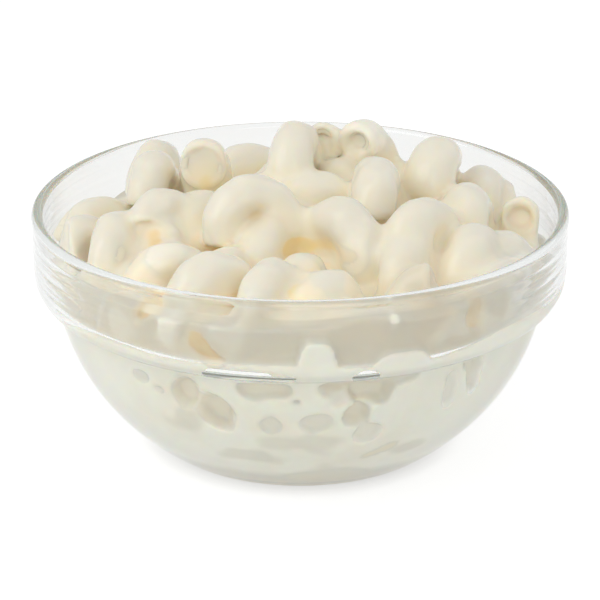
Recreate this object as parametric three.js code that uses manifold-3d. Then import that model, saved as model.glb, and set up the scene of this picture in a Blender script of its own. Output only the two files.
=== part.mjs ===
// Macaroni and cheese in its clear glass stacking bowl: elbow macaroni in a white cheese sauce,
// heaped above the rim of a pressed glass bowl with a straight band, a stacking step and a flat foot.
// Millimetres, +Z up, origin in the middle of the foot; the front of the heap looks along -Y.
import * as THREE from "three";
import { mergeVertices } from "three/addons/utils/BufferGeometryUtils.js";
import Module from "manifold-3d";

// Driving dimensions of the bowl.
const RIM_RADIUS = 60;
const BOWL_HEIGHT = 55;
const LIP_ROUND = 1.3;
const BAND_TAPER = 0.2;
const CORNER_WIDTH = 4.6;
const CORNER_HEIGHT = 5.7;
const STEP_RADIUS = 55.2;
const STEP_HEIGHT = 35.4;
const BODY_SAGITTA = 4.4;
const FOOT_RADIUS = 31.2;
const FOOT_ROUND = 1.2;
const BAND_WALL = 2.6;
const BODY_WALL = 3.4;
const BASE_THICKNESS = 4.4;
const LEDGE_HEIGHT = 36.6;
const LEDGE_WIDTH = 5;
const LEDGE_RISE = 5.4;
const BOWL_SIDES = 52;
const ARC_STEPS = 6;
const ROUND_STEPS = 3;

// Driving dimensions of the filling.
const GLASS_GAP = 0.3;
const CORE_GAP = 0.45;
const CORE_SIDES = 28;
const SAUCE_CROWN = 56;
const SAUCE_FALL = 15;
const SAUCE_RECESS = 3;
const TUBE_RADIUS = 4.7;
const BORE_RADIUS = 2.4;
const BORE_DEPTH = 3;
const BEND_RADIUS = 7.2;
const TUBE_SIDES = 7;
const BORE_SIDES = 5;
const BEND_PER_STEP = 40;
const ELBOW_SPACING = 9.5;
const FILL_TRIES = 110;
const FILL_RADIUS = 44;
const FILL_CROWN = 51;
const FILL_FALL = 14;
const WALL_ELBOWS = 19;
const WALL_ELBOW_RADIUS = 48.2;
const WALL_ELBOW_HEIGHT = 38;

// Colours of the two materials.
const GLASS_COLOUR = 0xe9efec;
const SAUCE_COLOUR = 0xf3ead6;

// The elbows that show from the front, each as x, y, z of the middle of its bend, then turn about Z,
// spin about Y and lean about X in degrees, then how many degrees of a circle the tube bends through.
// Unturned, an elbow is an arch in the XZ plane with its crown up.
const SHOWN_ELBOWS = [
  [-10, -16, 55, 10, -6, -12, 215],
  [-28, -12.8, 50.8, 40, 4, -55, 200],
  [-28, -27, 43, 20, -38, 5, 160],
  [-40.5, -16, 46.5, 80, 0, 5, 170],
  [-48, -8, 43, 60, -15, 5, 170],
  [-47, 8, 42, 40, 10, 0, 170],
  [-33.7, 15, 49.8, 80, 0, -10, 170],
  [-21.2, 6.5, 54.5, 84, 0, -72, 150],
  [-12.5, 32, 46, 20, 10, -10, 160],
  [-1.5, 7, 59.4, 80, 0, 0, 190],
  [5.5, 13, 57.5, 85, 0, -75, 140],
  [14.8, 11, 58.9, 70, 20, -70, 170],
  [16.7, -4, 54.3, 85, 0, -5, 170],
  [29.6, 12, 54.2, 80, 8, -5, 175],
  [41, 18, 44.6, 80, 5, 0, 170],
  [46.5, 20, 40, 60, 10, 0, 170],
  [38.5, -3, 47.7, 80, -8, -10, 170],
  [49.8, 0, 43.8, 85, 5, -80, 140],
  [26.5, -20, 51, 62, -10, 5, 180],
  [37, -22, 45.5, 65, 0, 0, 180],
  [9, -19.5, 51.3, -48, 0, 6, 230],
  [22.5, -27, 46, 80, 0, 0, 170],
  [29.3, -40, 45.5, -12, -65, 0, 110],
  [-18.5, -40, 45.5, 32, -8, 0, 125],
  [-6.5, -44, 46, 60, 0, 0, 170],
  [43, -14, 41.5, 60, 10, 0, 170],
  [2.5, -4, 51, 30, 5, 0, 170],
  [3.5, -42, 43.5, 45, 10, 10, 170],
  [-7.5, -18, 46, 70, 0, 0, 180],
  [0.5, -33, 42.5, 80, 0, 0, 170],
  [-34, 28, 48.2, 75, 0, 0, 170],
];

const wasm = await Module();
wasm.setup();

// A seeded generator, so the filled-in elbows always land in the same places.
let seed = 20;
function draw(low, high) {
  seed = (seed * 1103515245 + 12345) % 2147483648;
  return low + ((high - low) * seed) / 2147483648;
}

// The solid of a closed three.js geometry, and back again.
function toSolid(geometry) {
  const bare = geometry.clone();
  bare.deleteAttribute("normal");
  bare.deleteAttribute("uv");
  const merged = mergeVertices(bare, 1e-4);
  return new wasm.Manifold(
    new wasm.Mesh({
      numProp: 3,
      vertProperties: new Float32Array(merged.attributes.position.array),
      triVerts: new Uint32Array(merged.index.array),
    }),
  );
}

function toGeometry(solid) {
  const { vertProperties, triVerts } = solid.getMesh();
  const geometry = new THREE.BufferGeometry();
  geometry.setAttribute("position", new THREE.BufferAttribute(vertProperties, 3));
  geometry.setIndex(new THREE.BufferAttribute(triVerts, 1));
  geometry.computeVertexNormals();
  return geometry;
}

// Points of a quarter ellipse about (x, z), from one angle to another in degrees.
function roundPoints(x, z, width, height, fromAngle, toAngle, steps) {
  return Array.from({ length: steps + 1 }, (_, i) => {
    const angle = THREE.MathUtils.degToRad(fromAngle + ((toAngle - fromAngle) * i) / steps);
    return new THREE.Vector2(x + width * Math.cos(angle), z + height * Math.sin(angle));
  });
}

// Points of a shallow arc from one profile point to another, bulging by the sagitta to the right
// of the way it runs.
function arcPoints(from, to, sagitta, steps) {
  const chord = to.clone().sub(from);
  const right = new THREE.Vector2(chord.y, -chord.x).normalize();
  return Array.from({ length: steps + 1 }, (_, i) => {
    const t = i / steps;
    return from
      .clone()
      .addScaledVector(chord, t)
      .addScaledVector(right, 4 * sagitta * t * (1 - t));
  });
}

// A solid of revolution about Z from its (radius, height) profile.
function turned(points, sides) {
  const geometry = new THREE.LatheGeometry(points, sides);
  geometry.rotateX(Math.PI / 2);
  return geometry;
}

// The inside line of the bowl from the middle of its floor up to the lip, moved in by a gap.
function insideLine(gap) {
  const floor = BASE_THICKNESS + gap;
  const ledge = STEP_RADIUS - BODY_WALL - gap;
  const bandInside = RIM_RADIUS - BAND_WALL - gap;
  const floorEdge = new THREE.Vector2(FOOT_RADIUS - BODY_WALL / 2, floor);
  const ledgeEdge = new THREE.Vector2(ledge, LEDGE_HEIGHT);
  return [
    new THREE.Vector2(0, floor),
    ...arcPoints(floorEdge, ledgeEdge, BODY_SAGITTA, ARC_STEPS),
    ...roundPoints(bandInside - LEDGE_WIDTH, LEDGE_HEIGHT + LEDGE_RISE, LEDGE_WIDTH, LEDGE_RISE, -80, 0, ROUND_STEPS),
  ];
}

// The outside line of the bowl from the middle of the foot up to the widest part of the rim.
function outsideLine() {
  const footTop = new THREE.Vector2(FOOT_RADIUS + FOOT_ROUND, FOOT_ROUND / 2);
  const step = new THREE.Vector2(STEP_RADIUS, STEP_HEIGHT);
  const corner = RIM_RADIUS - BAND_TAPER - CORNER_WIDTH;
  return [
    new THREE.Vector2(0, 0),
    new THREE.Vector2(FOOT_RADIUS, 0),
    ...arcPoints(footTop, step, BODY_SAGITTA, ARC_STEPS),
    ...roundPoints(corner, STEP_HEIGHT + CORNER_HEIGHT, CORNER_WIDTH, CORNER_HEIGHT, -80, 0, ROUND_STEPS),
  ];
}

function glassBowl() {
  const lipHeight = BOWL_HEIGHT - LIP_ROUND;
  const outerLip = roundPoints(RIM_RADIUS - LIP_ROUND, lipHeight, LIP_ROUND, LIP_ROUND, 0, 90, ROUND_STEPS);
  const innerRound = BAND_WALL - LIP_ROUND;
  const innerLip = roundPoints(RIM_RADIUS - LIP_ROUND, BOWL_HEIGHT - innerRound, innerRound, innerRound, 90, 180, 2);
  const profile = [...outsideLine(), ...outerLip, ...innerLip.slice(1), ...insideLine(0).reverse()];
  return turned(profile, BOWL_SIDES);
}

// The bare core of the filling: everything below a low dome, a little inside the glass.
function sauceCore() {
  const wall = insideLine(CORE_GAP);
  const edge = wall[wall.length - 1];
  const coreEdge = new THREE.Vector2(edge.x - SAUCE_RECESS, SAUCE_CROWN - SAUCE_FALL);
  const dome = Array.from({ length: 6 }, (_, i) => {
    const t = 1 - (i + 1) / 6;
    return new THREE.Vector2(coreEdge.x * t, SAUCE_CROWN - SAUCE_FALL * t * t);
  });
  return turned([...wall.slice(0, -2), coreEdge, ...dome], CORE_SIDES);
}

// All the space that the filling may take: inside the glass, and straight up above the rim.
function fillingSpace() {
  const wall = insideLine(GLASS_GAP);
  const top = BOWL_HEIGHT * 2;
  const column = [new THREE.Vector2(wall[wall.length - 1].x, top), new THREE.Vector2(0, top)];
  return turned([...wall, ...column], BOWL_SIDES);
}

// The centre line of an elbow: part of a circle in the XZ plane, crown up.
class BendCurve extends THREE.Curve {
  constructor(bend) {
    super();
    this.bend = THREE.MathUtils.degToRad(bend);
  }
  getPoint(t, target = new THREE.Vector3()) {
    const angle = (t - 0.5) * this.bend;
    return target.set(BEND_RADIUS * Math.sin(angle), 0, BEND_RADIUS * Math.cos(angle));
  }
}

// One elbow: a bent tube, with a short bore at each end where its ends are open to view.
function elbowSolid([x, y, z, turn, spin, lean, bend], open) {
  const curve = new BendCurve(bend);
  const ring = new THREE.Shape(
    Array.from({ length: TUBE_SIDES }, (_, i) => {
      const angle = (2 * Math.PI * i) / TUBE_SIDES;
      return new THREE.Vector2(TUBE_RADIUS * Math.cos(angle), TUBE_RADIUS * Math.sin(angle));
    }),
  );
  const steps = Math.round(bend / BEND_PER_STEP);
  let solid = toSolid(new THREE.ExtrudeGeometry(ring, { steps, extrudePath: curve }));
  const up = new THREE.Vector3(0, 1, 0);
  for (const t of open ? [0, 1] : []) {
    const bore = new THREE.CylinderGeometry(BORE_RADIUS, BORE_RADIUS, 2 * BORE_DEPTH, BORE_SIDES);
    bore.applyQuaternion(new THREE.Quaternion().setFromUnitVectors(up, curve.getTangent(t)));
    const end = curve.getPoint(t);
    bore.translate(end.x, end.y, end.z);
    solid = solid.subtract(toSolid(bore));
  }
  const [turnZ, spinY, leanX] = [turn, spin, lean].map(THREE.MathUtils.degToRad);
  const place = new THREE.Matrix4().makeRotationFromEuler(new THREE.Euler(leanX, spinY, turnZ, "XYZ"));
  place.setPosition(x, y, z);
  return toSolid(toGeometry(solid).applyMatrix4(place));
}

// Elbows that fill the rest of the dome at golden-angle steps, wherever none lies close already.
function filledElbows(placed) {
  const elbows = [];
  const golden = Math.PI * (3 - Math.sqrt(5));
  for (let i = 0; i < FILL_TRIES; i += 1) {
    const radius = FILL_RADIUS * Math.sqrt((i + 0.5) / FILL_TRIES);
    const angle = golden * i;
    const x = radius * Math.cos(angle);
    const y = radius * Math.sin(angle);
    const z = FILL_CROWN - FILL_FALL * (radius / FILL_RADIUS) ** 2 + draw(-1, 1);
    const elbow = [x, y, z, draw(0, 180), draw(-35, 35), draw(-35, 35), draw(150, 200)];
    const near = [...placed, ...elbows].some((other) => Math.hypot(other[0] - x, other[1] - y) < ELBOW_SPACING);
    if (!near) elbows.push(elbow);
  }
  return elbows;
}

// Elbows that lie flat against the inside of the glass, behind the band.
function wallElbows() {
  return Array.from({ length: WALL_ELBOWS }, (_, i) => {
    const angle = (2 * Math.PI * (i + draw(-0.2, 0.2))) / WALL_ELBOWS;
    const x = WALL_ELBOW_RADIUS * Math.cos(angle);
    const y = WALL_ELBOW_RADIUS * Math.sin(angle);
    const turn = THREE.MathUtils.radToDeg(angle) + 90 + draw(-25, 25);
    return [x, y, WALL_ELBOW_HEIGHT + draw(-2, 2), turn, draw(0, 360), 0, draw(150, 190)];
  });
}

function macaroniHeap() {
  const shown = SHOWN_ELBOWS.map((elbow) => elbowSolid(elbow, true));
  const others = [...filledElbows(SHOWN_ELBOWS), ...wallElbows()];
  const rest = others.map((elbow) => elbowSolid(elbow, false));
  const heap = [...shown, ...rest].reduce((solid, elbow) => solid.add(elbow), toSolid(sauceCore()));
  const kept = heap.intersect(toSolid(fillingSpace()));
  const bodies = kept.decompose().sort((a, b) => b.volume() - a.volume());
  return toGeometry(bodies[0]);
}

function addPiece(group, name, geometry, colour, roughness) {
  const material = new THREE.MeshStandardMaterial({ color: colour, roughness, metalness: 0 });
  const mesh = new THREE.Mesh(geometry, material);
  mesh.name = name;
  group.add(mesh);
}

const bowlOfMacaroni = new THREE.Group();
addPiece(bowlOfMacaroni, "glass_bowl", glassBowl(), GLASS_COLOUR, 0.05);
addPiece(bowlOfMacaroni, "macaroni_heap", macaroniHeap(), SAUCE_COLOUR, 0.4);

export default bowlOfMacaroni;
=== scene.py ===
# %% [markdown]
# # A bowl of macaroni and cheese
#
# Elbow macaroni in a white cheese sauce stands heaped in a clear pressed glass bowl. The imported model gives
# the true size and the place of both solids, the bowl and the heap. This lesson dresses them: the glass gets
# a fine, smooth surface, and the heap becomes real bent tubes under a coat of sauce. The model is loaded
# first, because every size below is taken from it or fits inside it.

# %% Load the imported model
from math import cos, hypot, pi, radians, sin, sqrt

import bpy
import numpy as np
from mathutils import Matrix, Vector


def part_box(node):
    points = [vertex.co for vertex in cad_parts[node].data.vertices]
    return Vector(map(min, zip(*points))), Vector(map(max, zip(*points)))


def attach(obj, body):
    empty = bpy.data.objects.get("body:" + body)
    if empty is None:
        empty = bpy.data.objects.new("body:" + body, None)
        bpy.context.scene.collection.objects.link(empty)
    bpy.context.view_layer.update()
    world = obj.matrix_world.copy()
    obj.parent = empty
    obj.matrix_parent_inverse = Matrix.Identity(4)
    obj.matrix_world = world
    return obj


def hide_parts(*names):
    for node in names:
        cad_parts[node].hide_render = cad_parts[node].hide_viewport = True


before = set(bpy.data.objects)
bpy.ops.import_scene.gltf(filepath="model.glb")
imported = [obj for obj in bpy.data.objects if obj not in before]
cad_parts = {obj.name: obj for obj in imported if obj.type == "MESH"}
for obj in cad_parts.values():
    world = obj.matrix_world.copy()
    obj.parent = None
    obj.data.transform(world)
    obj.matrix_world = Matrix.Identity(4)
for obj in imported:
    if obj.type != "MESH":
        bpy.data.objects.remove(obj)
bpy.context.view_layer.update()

import openvdb
from mathutils import Matrix, Vector

MM = 0.001
bowl_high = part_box("glass_bowl")[1]
heap_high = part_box("macaroni_heap")[1]
RIM_RADIUS = bowl_high.x / MM
BOWL_HEIGHT = bowl_high.z / MM
print(f"bowl {2 * RIM_RADIUS:.1f} mm wide and {BOWL_HEIGHT:.1f} mm high, heap to {heap_high.z / MM:.1f} mm")

# %% [markdown]
# ## The camera
#
# A small bowl is shot with a long lens from a little above the rim, so that the heap, the far rim and the
# front of the glass all show. A constraint could aim the camera at an empty, but a plain place and pitch say
# exactly where it stands: 0.6 m away, looking down by nearly 22 degrees.

# %% Camera
CAMERA_DISTANCE = 600.0
CAMERA_RISE = radians(19.71)
CAMERA_PITCH = radians(21.78)
SENSOR_WIDTH = 36
LENS = 160.9
SIDE_SHIFT = -0.0005
CLIP_START = 0.01


def place_camera():
    data = bpy.data.cameras.new("camera")
    camera = bpy.data.objects.new("camera", data)
    bpy.context.scene.collection.objects.link(camera)
    y = -CAMERA_DISTANCE * cos(CAMERA_RISE)
    z = BOWL_HEIGHT + CAMERA_DISTANCE * sin(CAMERA_RISE)
    camera.location = (0, y * MM, z * MM)
    camera.rotation_euler = (pi / 2 - CAMERA_PITCH, 0, 0)
    data.sensor_width = SENSOR_WIDTH
    data.lens = LENS
    data.shift_x = SIDE_SHIFT
    data.clip_start = CLIP_START
    bpy.context.scene.camera = camera
    return camera


camera = place_camera()
print("camera at", [round(v, 3) for v in camera.location])

# %% [markdown]
# ## Helpers for meshes
#
# Every piece is made from plain arrays of points and faces. Blender's operators could build it too, but they
# depend on what is selected. So one helper turns arrays into a smooth-shaded object in metres, and another
# attaches the object to the body and hides the solid that it stands for.

# %% Make and tie a piece


def make_piece(name, points, faces, material):
    """An object from points in millimetres."""
    mesh = bpy.data.meshes.new(name)
    mesh.from_pydata(np.asarray(points, float) * MM, [], faces)
    mesh.polygons.foreach_set("use_smooth", [True] * len(mesh.polygons))
    mesh.materials.append(material)
    mesh.update()
    piece = bpy.data.objects.new(name, mesh)
    bpy.context.scene.collection.objects.link(piece)
    print(f"{name}: {len(mesh.vertices)} points, {len(mesh.polygons)} faces")
    return piece


def tie(piece, slot, *nodes):
    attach(piece, "root")
    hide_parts(*nodes)


# %% [markdown]
# ## The glass bowl's profile
#
# A pressed stacking bowl is round, so one profile turned about its axis makes it. A Screw modifier could do
# the turning, but written out here it also closes the mesh on the axis with single points. The same few arcs
# as in the solid are drawn again with many more steps, because clear glass shows every facet as a kink in
# what is seen through it. The mould leaves faint rings on the band.

# %% Arcs and rings
STEP_HEIGHT = 35.4
LIP_ROUND = 1.3
# Each wave's depth, its period and where it starts, in millimetres and radians.
RING_WAVES = [(0.022, 3.4, 0.4), (0.012, 1.9, 2.0), (0.006, 1.1, 4.1)]
RINGS_FADE_IN = 3
RINGS_FADE_OUT = 2
RINGS_APART = 0.7


def round_points(x, z, width, height, from_angle, to_angle, steps):
    angles = np.radians(np.linspace(from_angle, to_angle, steps + 1))
    return np.column_stack([x + width * np.cos(angles), z + height * np.sin(angles)])


def arc_points(start, end, sagitta, steps):
    """A shallow arc that bulges to the right of the way from start to end."""
    start, end = np.array(start, float), np.array(end, float)
    chord = end - start
    right = np.array([chord[1], -chord[0]]) / np.hypot(*chord)
    t = np.linspace(0, 1, steps + 1)[:, None]
    return start + chord * t + right * 4 * sagitta * t * (1 - t)


def ring_waves(z):
    """How far the mould's faint rings draw the glass in at a height."""
    over_step = np.clip((z - STEP_HEIGHT) / RINGS_FADE_IN, 0, 1)
    under_lip = np.clip((BOWL_HEIGHT - LIP_ROUND - z) / RINGS_FADE_OUT, 0, 1)
    waves = sum(depth * (1 + np.sin(2 * pi * z / period + start)) for depth, period, start in RING_WAVES)
    return over_step * under_lip * waves


def band_line(low, high, radius, steps):
    """The points between the ends of a straight piece of the band."""
    z = np.linspace(low, high, steps + 1)[1:-1]
    return np.column_stack([np.full(len(z), radius), z])


# %% Profile lines
BAND_TAPER = 0.2
CORNER_WIDTH = 4.6
CORNER_HEIGHT = 5.7
STEP_RADIUS = 55.2
BODY_SAGITTA = 4.4
FOOT_RADIUS = 31.2
FOOT_ROUND = 1.2
BAND_WALL = 2.6
BODY_WALL = 3.4
BASE_THICKNESS = 4.4
LEDGE_HEIGHT = 36.6
LEDGE_WIDTH = 5.0
LEDGE_RISE = 5.4
STEP_ARC = (-80, 0)
ARC_STEPS = 40
ROUND_STEPS = 14
BAND_STEPS = 44


def inside_line():
    """From the middle of the floor up to the lip."""
    ledge = STEP_RADIUS - BODY_WALL
    floor_edge = (FOOT_RADIUS - BODY_WALL / 2, BASE_THICKNESS)
    band_inside = RIM_RADIUS - BAND_WALL
    body = arc_points(floor_edge, (ledge, LEDGE_HEIGHT), BODY_SAGITTA, ARC_STEPS)
    centre = (band_inside - LEDGE_WIDTH, LEDGE_HEIGHT + LEDGE_RISE)
    step = round_points(*centre, LEDGE_WIDTH, LEDGE_RISE, *STEP_ARC, ROUND_STEPS)
    band = band_line(centre[1], BOWL_HEIGHT - LIP_ROUND, band_inside, BAND_STEPS)
    line = np.vstack([[[0, BASE_THICKNESS]], body, step, band])
    line[:, 0] += ring_waves(line[:, 1] + RINGS_APART)
    return line


def outside_line():
    """From the middle of the foot up to the lip."""
    foot_top = (FOOT_RADIUS + FOOT_ROUND, FOOT_ROUND / 2)
    foot = [[0, 0], [FOOT_RADIUS, 0]]
    body = arc_points(foot_top, (STEP_RADIUS, STEP_HEIGHT), BODY_SAGITTA, ARC_STEPS)
    corner = (RIM_RADIUS - BAND_TAPER - CORNER_WIDTH, STEP_HEIGHT + CORNER_HEIGHT)
    step = round_points(*corner, CORNER_WIDTH, CORNER_HEIGHT, *STEP_ARC, ROUND_STEPS)
    band = band_line(corner[1], BOWL_HEIGHT - LIP_ROUND, RIM_RADIUS - BAND_TAPER / 2, BAND_STEPS)
    line = np.vstack([foot, body, step, band])
    line[:, 0] -= ring_waves(line[:, 1])
    return line


def lip_line():
    """Over the lip, from the outside to the inside."""
    inner_round = BAND_WALL - LIP_ROUND
    centre = RIM_RADIUS - LIP_ROUND
    outer = round_points(centre, BOWL_HEIGHT - LIP_ROUND, LIP_ROUND, LIP_ROUND, 0, 90, ROUND_STEPS)
    inner = round_points(centre, BOWL_HEIGHT - inner_round, inner_round, inner_round, 90, 180, ROUND_STEPS)
    return np.vstack([outer, inner[1:]])


inner_wall = inside_line()
bowl_profile = np.vstack([outside_line(), lip_line(), inner_wall[::-1]])
print(f"the profile has {len(bowl_profile)} points")

# %% Turn the profile
BOWL_SIDES = 224


def turned(profile, sides):
    """Points and faces of a profile turned about Z; the profile starts and ends on the axis."""
    ring = profile[1:-1]
    angles = np.arange(sides) * 2 * pi / sides
    points = [(0, 0, profile[0][1]), (0, 0, profile[-1][1])]
    for radius, z in ring:
        points += [(radius * cos(a), radius * sin(a), z) for a in angles]
    faces = []
    last = 2 + (len(ring) - 1) * sides
    for k in range(sides):
        n = (k + 1) % sides
        faces.append((0, 2 + n, 2 + k))
        faces.append((1, last + k, last + n))
        for i in range(len(ring) - 1):
            a, b = 2 + i * sides, 2 + (i + 1) * sides
            faces.append((a + k, a + n, b + n, b + k))
    return points, faces


# %% [markdown]
# ## Helpers for materials
#
# A material is a small graph of nodes. Wired by hand or in code, each node needs the same three acts: add
# it, set its constants, link its inputs. One helper does all three.

# %% Nodes, ranges and ramps


def new_material(name):
    """A material with an empty node tree, and the inputs of its output."""
    material = bpy.data.materials.new(name)
    material.use_nodes = True
    tree = material.node_tree
    tree.nodes.clear()
    return material, tree, tree.nodes.new("ShaderNodeOutputMaterial").inputs


def add_node(tree, kind, inputs, operation=None):
    """A node's outputs, once each input named has its constant or its link."""
    node = tree.nodes.new("ShaderNode" + kind)
    if operation:
        node.operation = operation
    for socket, value in inputs.items():
        if isinstance(value, bpy.types.NodeSocket):
            tree.links.new(value, node.inputs[socket])
        else:
            node.inputs[socket].default_value = value
    return node.outputs


def map_range(tree, value, before, after):
    """The value moved from one range to another, and held at its ends."""
    ends = {"From Min": before[0], "From Max": before[1], "To Min": after[0], "To Max": after[1]}
    return add_node(tree, "MapRange", {"Value": value, **ends})["Result"]


def add_noise(tree, place, scale, detail):
    return add_node(tree, "TexNoise", {"Vector": place, "Scale": scale, "Detail": detail})["Fac"]


def add_bump(tree, height, strength, depth):
    """Normals bumped by a height; the depth is in millimetres."""
    bump = {"Height": height, "Strength": strength, "Distance": depth * MM}
    return add_node(tree, "Bump", bump)["Normal"]


def add_ramp(tree, value, positions, colours):
    """The colour between those at the positions below and above the value."""
    node = tree.nodes.new("ShaderNodeValToRGB")
    stops = node.color_ramp.elements
    for end in (0, -1):
        stops[end].position = positions[end]
        stops[end].color = (*colours[end], 1)
    for position, colour in zip(positions[1:-1], colours[1:-1]):
        stops.new(position).color = (*colour, 1)
    tree.links.new(value, node.inputs["Fac"])
    return node.outputs["Color"]


# %% [markdown]
# ## Clear glass
#
# Soda-lime glass bends light by an index of about 1.5 and is a little green where it is thick. Where it is
# seen at a flat angle, and in the ringed band, its tint is darkened: painted shade that greys its edges and
# the band. Clear glass could be lit by true caustics, but a path tracer finds those paths badly. So the glass
# lets shadow rays pass, and rays that have mirrored often: the filling is lit as if the wall were thin air.

# %% Glass material
GLASS_INDEX = 1.5
GLASS_DENSITY = 12.0
GLASS_ABSORBS = (0.0, 0.1, 0.05, 1)
GLASS_TINTS = [(0.983, 0.988, 0.984), (0.99, 0.994, 0.991)]
SHADOW_TINT = (0.98, 0.985, 0.982, 1)
RIPPLE_SCALE = 60.0
RIPPLE_DETAIL = 1.0
RIPPLE_STRENGTH = 0.12
RIPPLE_DEPTH = 0.6
GLASS_BAND_SHADE = 0.91
GLASS_EDGE_SHADE = 0.6
EDGE_FROM = 0.62
EDGE_BLEND = 0.5
MIRRORED_OFTEN = 2.5


def glass_colour(tree, place, ripple):
    """The glass's tint, with painted shade that makes it greyer in the band and at edges."""
    corner = (STEP_HEIGHT * MM, (STEP_HEIGHT + CORNER_HEIGHT) * MM)
    height = add_node(tree, "SeparateXYZ", {"Vector": place})["Z"]
    facing = add_node(tree, "LayerWeight", {"Blend": EDGE_BLEND})["Facing"]
    in_band = map_range(tree, height, corner, (1.0, GLASS_BAND_SHADE))
    at_edge = map_range(tree, facing, (EDGE_FROM, 1.0), (1.0, GLASS_EDGE_SHADE))
    painted_glass_shade = add_node(tree, "Math", {0: in_band, 1: at_edge}, "MULTIPLY")["Value"]
    tint = add_ramp(tree, ripple, (0.0, 1.0), GLASS_TINTS)
    return add_node(tree, "VectorMath", {0: tint, "Scale": painted_glass_shade}, "SCALE")["Vector"]


def glass_material():
    material, tree, output = new_material("clear_glass")
    place = add_node(tree, "TexCoord", {})["Object"]
    ripple = add_noise(tree, place, RIPPLE_SCALE, RIPPLE_DETAIL)
    surface = {
        "Transmission Weight": 1.0,
        "IOR": GLASS_INDEX,
        "Roughness": 0.0,
        "Base Color": glass_colour(tree, place, ripple),
        "Normal": add_bump(tree, ripple, RIPPLE_STRENGTH, RIPPLE_DEPTH),
    }
    glass = add_node(tree, "BsdfPrincipled", surface)["BSDF"]
    clear = add_node(tree, "BsdfTransparent", {"Color": SHADOW_TINT})["BSDF"]
    path = add_node(tree, "LightPath", {})
    worn = add_node(tree, "Math", {0: path["Glossy Depth"], 1: MIRRORED_OFTEN}, "GREATER_THAN")["Value"]
    passes = add_node(tree, "Math", {0: path["Is Shadow Ray"], 1: worn}, "MAXIMUM")["Value"]
    mixed = add_node(tree, "MixShader", {"Fac": passes, 1: glass, 2: clear})["Shader"]
    body = add_node(tree, "VolumeAbsorption", {"Color": GLASS_ABSORBS, "Density": GLASS_DENSITY})["Volume"]
    tree.links.new(mixed, output["Surface"])
    tree.links.new(body, output["Volume"])
    return material


bowl_piece = make_piece("clear_glass_bowl", *turned(bowl_profile, BOWL_SIDES), glass_material())
tie(bowl_piece, "clear_glass", "glass_bowl")

# %% [markdown]
# ## Where the elbows lie
#
# A physics simulation could drop the pasta in, but then no elbow lies where it is wanted. Those that show
# from the front are placed one by one. The rest of the dome is filled at golden-angle steps wherever there is
# room, and rows of elbows press against the glass. The same seeded rule as in the solid gives the same
# places.

# %% Elbows placed one by one
TUBE_RADIUS = 4.7
BEND_RADIUS = 7.2
# Each elbow is x, y, z of the middle of its bend, then its turns about Z, Y and X, then how far the tube
# bends, in millimetres and degrees. Unturned, it is an arch in the XZ plane with its crown up.
SHOWN_ELBOWS = [
    [-10, -16, 55, 10, -6, -12, 215],
    [-28, -12.8, 50.8, 40, 4, -55, 200],
    [-28, -27, 43, 20, -38, 5, 160],
    [-40.5, -16, 46.5, 80, 0, 5, 170],
    [-48, -8, 43, 60, -15, 5, 170],
    [-47, 8, 42, 40, 10, 0, 170],
    [-33.7, 15, 49.8, 80, 0, -10, 170],
    [-21.2, 6.5, 54.5, 84, 0, -72, 150],
    [-12.5, 32, 46, 20, 10, -10, 160],
    [-1.5, 7, 59.4, 80, 0, 0, 190],
    [5.5, 13, 57.5, 85, 0, -75, 140],
    [14.8, 11, 58.9, 70, 20, -70, 170],
    [16.7, -4, 54.3, 85, 0, -5, 170],
    [29.6, 12, 54.2, 80, 8, -5, 175],
    [41, 18, 44.6, 80, 5, 0, 170],
    [46.5, 20, 40, 60, 10, 0, 170],
    [38.5, -3, 47.7, 80, -8, -10, 170],
    [49.8, 0, 43.8, 85, 5, -80, 140],
    [26.5, -20, 51, 62, -10, 5, 180],
    [37, -22, 45.5, 65, 0, 0, 180],
    [9, -19.5, 51.3, -48, 0, 6, 230],
    [22.5, -27, 46, 80, 0, 0, 170],
    [29.3, -40, 45.5, -12, -65, 0, 110],
    [-18.5, -40, 45.5, 32, -8, 0, 125],
    [-6.5, -44, 46, 60, 0, 0, 170],
    [43, -14, 41.5, 60, 10, 0, 170],
    [2.5, -4, 51, 30, 5, 0, 170],
    [3.5, -42, 43.5, 45, 10, 10, 170],
    [-7.5, -18, 46, 70, 0, 0, 180],
    [0.5, -33, 42.5, 80, 0, 0, 170],
    [-34, 28, 48.2, 75, 0, 0, 170],
]
print(f"{len(SHOWN_ELBOWS)} elbows placed by hand")

# %% Fill the dome by the seeded rule
RULE_FACTOR = 1103515245
RULE_STEP = 12345
RULE_SIZE = 2**31
ELBOW_SPACING = 9.5
FILL_TRIES = 110
FILL_RADIUS = 44
FILL_CROWN = 51
FILL_FALL = 14
FILL_SWAY = 1
FILL_TIP = 35
FILL_BENDS = (150, 200)

seed = 20


def draw(low, high):
    """The next number of the seeded rule, between low and high."""
    global seed
    seed = (seed * RULE_FACTOR + RULE_STEP) % RULE_SIZE
    return low + (high - low) * seed / RULE_SIZE


def sway(reach):
    """A drawn number up to the reach, to either side."""
    return draw(-reach, reach)


def filled_elbows(placed):
    elbows = []
    golden = pi * (3 - sqrt(5))
    for i in range(FILL_TRIES):
        radius = FILL_RADIUS * sqrt((i + 0.5) / FILL_TRIES)
        x, y = radius * cos(golden * i), radius * sin(golden * i)
        z = FILL_CROWN - FILL_FALL * (radius / FILL_RADIUS) ** 2 + sway(FILL_SWAY)
        elbow = [x, y, z, draw(0, 180), sway(FILL_TIP), sway(FILL_TIP), draw(*FILL_BENDS)]
        if all(hypot(other[0] - x, other[1] - y) >= ELBOW_SPACING for other in placed + elbows):
            elbows.append(elbow)
    return elbows


top_elbows = SHOWN_ELBOWS + filled_elbows(SHOWN_ELBOWS)
print(f"{len(top_elbows)} elbows on the dome")

# %% Rows against the glass
BAND_ELBOWS = 19
BAND_ELBOW_RADIUS = 48.2
BAND_ELBOW_HEIGHT = 38
BAND_SHUFFLE = 0.2
BAND_TURN = 25
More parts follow.
